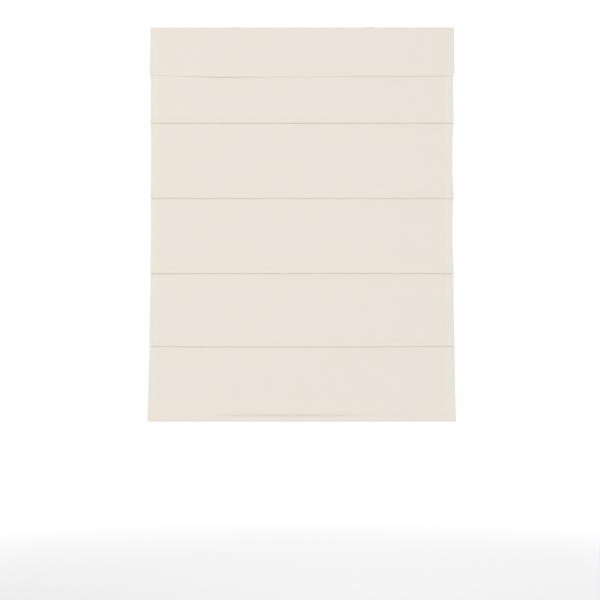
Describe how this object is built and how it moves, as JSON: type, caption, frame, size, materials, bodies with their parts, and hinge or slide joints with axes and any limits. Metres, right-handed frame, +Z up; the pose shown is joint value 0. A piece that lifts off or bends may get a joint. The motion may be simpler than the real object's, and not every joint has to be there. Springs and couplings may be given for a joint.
{
  "type": "roman blind",
  "caption": "Cordless inside-mount roman blind with a front valance, front tucks over flat battens, a weighted hem and a spring-balanced lift in a hidden headrail.",
  "frame": {"origin": "on the lintel above the blind, midway between its two brackets and at the middle of their four screw holes", "axes": "+Z up towards the lintel, the room is on the -Y side, +X to the right seen from the room"},
  "size_m": [0.799, 0.0556, 1.027],
  "materials": {
    "cloth": "plain-woven cream polyester, matt",
    "touch_tape": "white hook and loop tape",
    "rail_paint": "white baked enamel, satin",
    "white_moulding": "white moulded plastic",
    "natural_moulding": "natural white acetal",
    "guide_moulding": "translucent white moulded plastic",
    "motor_case": "pale grey moulded plastic",
    "drum_moulding": "natural acetal",
    "spring_steel": "blued spring steel strip",
    "bracket_steel": "zinc-plated spring steel",
    "shaft_steel": "drawn bright steel",
    "screw_steel": "zinc-plated steel",
    "glass_fibre": "white pultruded glass-fibre strip",
    "bar_steel": "white painted steel strip",
    "lift_webbing": "thin white woven tape"
  },
  "bodies": {
    "headrail_frame": {"headrail": "rail_paint", "left_end_cap": "white_moulding", "right_end_cap": "white_moulding", "left_bracket": "bracket_steel", "right_bracket": "bracket_steel", "left_cradle": "natural_moulding", "right_cradle": "natural_moulding", "motor_housing": "motor_case", "motor_cover": "motor_case", "motor_screws": "screw_steel", "power_spring": "spring_steel", "rail_hook_tape": "touch_tape", "panel_loop_tape": "touch_tape", "panel_hook_tape": "touch_tape", "valance_loop_tape": "touch_tape", "valance": "cloth", "fabric_panel": "cloth", "left_lift_tape": "lift_webbing", "right_lift_tape": "lift_webbing"},
    "lift_shaft": {"lift_shaft": "shaft_steel", "left_spool": "natural_moulding", "right_spool": "natural_moulding", "output_drum": "drum_moulding"},
    "storage_drum": {"storage_drum": "drum_moulding"},
    "tuck_1": {"batten_1": "glass_fibre", "left_guide_1": "guide_moulding", "right_guide_1": "guide_moulding"},
    "tuck_2": {"batten_2": "glass_fibre", "left_guide_2": "guide_moulding", "right_guide_2": "guide_moulding"},
    "tuck_3": {"batten_3": "glass_fibre", "left_guide_3": "guide_moulding", "right_guide_3": "guide_moulding"},
    "tuck_4": {"batten_4": "glass_fibre", "left_guide_4": "guide_moulding", "right_guide_4": "guide_moulding"},
    "bottom_rail": {"bottom_bar": "bar_steel", "left_bar_cap": "white_moulding", "right_bar_cap": "white_moulding", "left_tape_anchor": "guide_moulding", "right_tape_anchor": "guide_moulding"}
  },
  "joints": [
    {"name": "lift", "type": "slide", "parent": "headrail_frame", "child": "bottom_rail", "axis": [0, 0, 1], "range_m": [0, 0.853], "deforming": ["fabric_panel", "left_lift_tape", "right_lift_tape"]},
    {"name": "tuck_1_lift", "type": "slide", "parent": "headrail_frame", "child": "tuck_1", "axis": [0, 0, 1], "range_m": [0, 0.17337]},
    {"name": "tuck_2_lift", "type": "slide", "parent": "headrail_frame", "child": "tuck_2", "axis": [0, 0, 1], "range_m": [0, 0.34582]},
    {"name": "tuck_3_lift", "type": "slide", "parent": "headrail_frame", "child": "tuck_3", "axis": [0, 0, 1], "range_m": [0, 0.51782]},
    {"name": "tuck_4_lift", "type": "slide", "parent": "headrail_frame", "child": "tuck_4", "axis": [0, 0, 1], "range_m": [0, 0.68499]},
    {"name": "shaft_turn", "type": "hinge", "parent": "headrail_frame", "child": "lift_shaft", "pos_m": [0, -0.0103, -0.0224], "axis": [-1, 0, 0], "range_deg": [0, 4957.8]},
    {"name": "storage_turn", "type": "hinge", "parent": "headrail_frame", "child": "storage_drum", "pos_m": [0, 0.0103, -0.0224], "axis": [1, 0, 0], "range_deg": [0, 4957.8]}
  ],
  "couplings": [
    {"joint": "tuck_1_lift", "follows": "lift", "ratio": 0.20309},
    {"joint": "tuck_2_lift", "follows": "lift", "ratio": 0.40515},
    {"joint": "tuck_3_lift", "follows": "lift", "ratio": 0.6067},
    {"joint": "tuck_4_lift", "follows": "lift", "ratio": 0.80258},
    {"joint": "shaft_turn", "follows": "lift", "rad_per_m": 101.4},
    {"joint": "storage_turn", "follows": "lift", "rad_per_m": 101.4}
  ]
}
